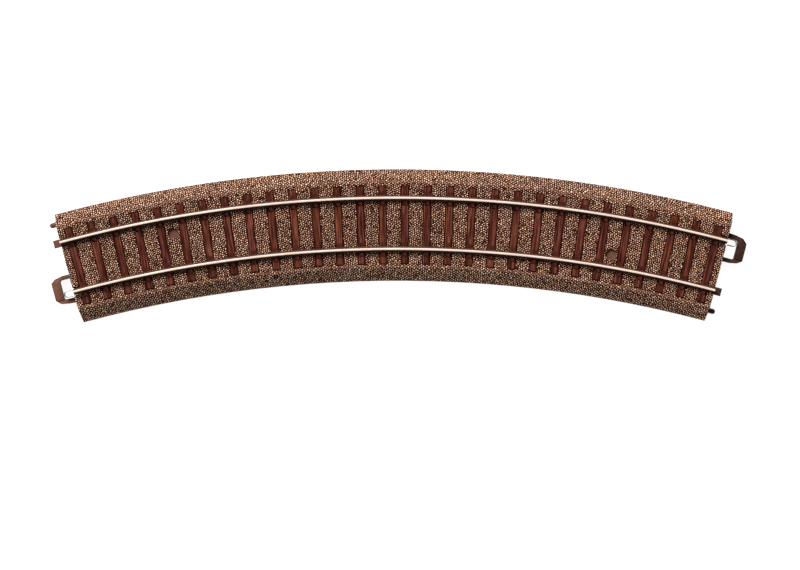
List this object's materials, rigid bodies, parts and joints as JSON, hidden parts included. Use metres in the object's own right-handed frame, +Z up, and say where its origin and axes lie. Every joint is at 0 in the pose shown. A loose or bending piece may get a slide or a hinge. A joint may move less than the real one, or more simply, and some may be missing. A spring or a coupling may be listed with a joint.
{
  "type": "curved model railway track section",
  "caption": "Curved two-rail model track section on a moulded ballast roadbed, with snap loops, tongues and sprung contacts at both ends.",
  "frame": {"origin": "on the track centreline at the middle of the curve, at the base", "axes": "+X along the track from the left end to the right end, +Y to the outer side of the curve, +Z up from the base to the rail heads"},
  "size_m": [0.2427, 0.0532, 0.0103],
  "materials": {
    "roadbed_plastic": "moulded ballast texture with lighter grain tops, matt brown",
    "tie_plastic": "matt red-brown plastic with moulded wood grain",
    "rail_metal": "drawn nickel silver, bright rolled head and dull brown web",
    "coupling_plastic": "satin brown moulded plastic",
    "contact_metal": "tinned spring sheet"
  },
  "bodies": {
    "track": {"roadbed": "roadbed_plastic", "outer_rail": "rail_metal", "inner_rail": "rail_metal", "left_rail_tongue": "coupling_plastic", "right_rail_tongue": "coupling_plastic", "left_locating_peg": "coupling_plastic", "right_locating_peg": "coupling_plastic", "left_outer_contact_strip": "contact_metal", "left_inner_contact_strip": "contact_metal", "right_outer_contact_strip": "contact_metal", "right_inner_contact_strip": "contact_metal", "tie_01": "tie_plastic", "tie_02": "tie_plastic", "tie_03": "tie_plastic", "tie_04": "tie_plastic", "tie_05": "tie_plastic", "tie_06": "tie_plastic", "tie_07": "tie_plastic", "tie_08": "tie_plastic", "tie_09": "tie_plastic", "tie_10": "tie_plastic", "tie_11": "tie_plastic", "tie_12": "tie_plastic", "tie_13": "tie_plastic", "tie_14": "tie_plastic", "tie_15": "tie_plastic", "tie_16": "tie_plastic", "tie_17": "tie_plastic", "tie_18": "tie_plastic", "tie_19": "tie_plastic", "tie_20": "tie_plastic", "tie_21": "tie_plastic", "tie_22": "tie_plastic", "tie_23": "tie_plastic", "tie_24": "tie_plastic", "tie_25": "tie_plastic", "tie_26": "tie_plastic", "tie_27": "tie_plastic", "tie_28": "tie_plastic", "tie_29": "tie_plastic", "tie_30": "tie_plastic"},
    "left_loop": {"left_coupling_loop": "coupling_plastic"},
    "right_loop": {"right_coupling_loop": "coupling_plastic"},
    "left_spring": {"left_contact_spring": "contact_metal"},
    "right_spring": {"right_contact_spring": "contact_metal"}
  },
  "joints": [
    {"name": "left_loop_flex", "type": "hinge", "parent": "track", "child": "left_loop", "pos_m": [-0.11158, -0.02187, 0.0028], "axis": [0.2588, -0.9659, 0], "range_deg": [0, 6], "stiffness_Nm_per_rad": 0.1},
    {"name": "left_spring_flex", "type": "hinge", "parent": "track", "child": "left_spring", "pos_m": [-0.1095, -0.02421, 0.00525], "axis": [0, 0, 1], "range_deg": [-3, 3], "stiffness_Nm_per_rad": 0.04},
    {"name": "right_loop_flex", "type": "hinge", "parent": "track", "child": "right_loop", "pos_m": [0.11528, -0.00805, 0.0028], "axis": [0.2588, 0.9659, 0], "range_deg": [0, 6], "stiffness_Nm_per_rad": 0.1},
    {"name": "right_spring_flex", "type": "hinge", "parent": "track", "child": "right_spring", "pos_m": [0.11465, -0.00499, 0.00525], "axis": [0, 0, 1], "range_deg": [-3, 3], "stiffness_Nm_per_rad": 0.04}
  ]
}
